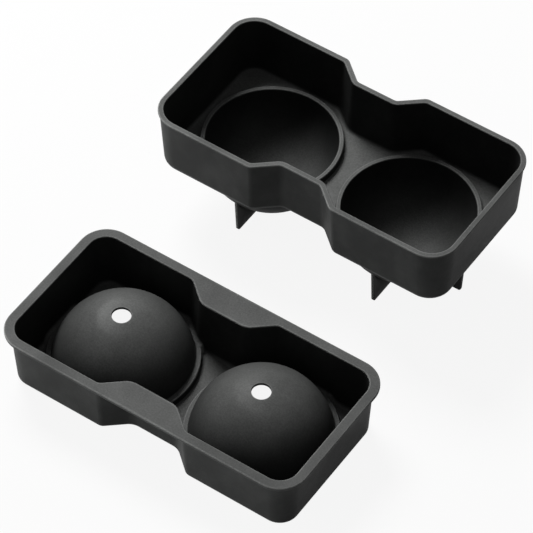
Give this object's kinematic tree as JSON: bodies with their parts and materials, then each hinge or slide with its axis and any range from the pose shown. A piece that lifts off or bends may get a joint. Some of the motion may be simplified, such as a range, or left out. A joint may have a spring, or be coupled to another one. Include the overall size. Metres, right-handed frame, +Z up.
{
  "type": "ice ball mold",
  "caption": "Black silicone ice ball mold in two nesting halves: a waisted tray with hemispherical cups on cross fins, and a flanged lid with domes and fill holes.",
  "frame": {"origin": "middle of the footprint of the two halves where they stand side by side, on the surface that they stand on", "axes": "+X along the long sides of both halves, +Y from the lid towards the base, +Z up"},
  "size_m": [0.1652, 0.207, 0.0658],
  "materials": {
    "base_silicone": "matte black silicone",
    "lid_silicone": "matte black silicone"
  },
  "bodies": {
    "base": {"mold_base": "base_silicone"},
    "lid": {"mold_lid": "lid_silicone"}
  },
  "joints": [
    {"name": "lid_lift", "type": "slide", "parent": "base", "child": "lid", "axis": [0, 0, 1], "range_m": [0, 0.08]}
  ]
}
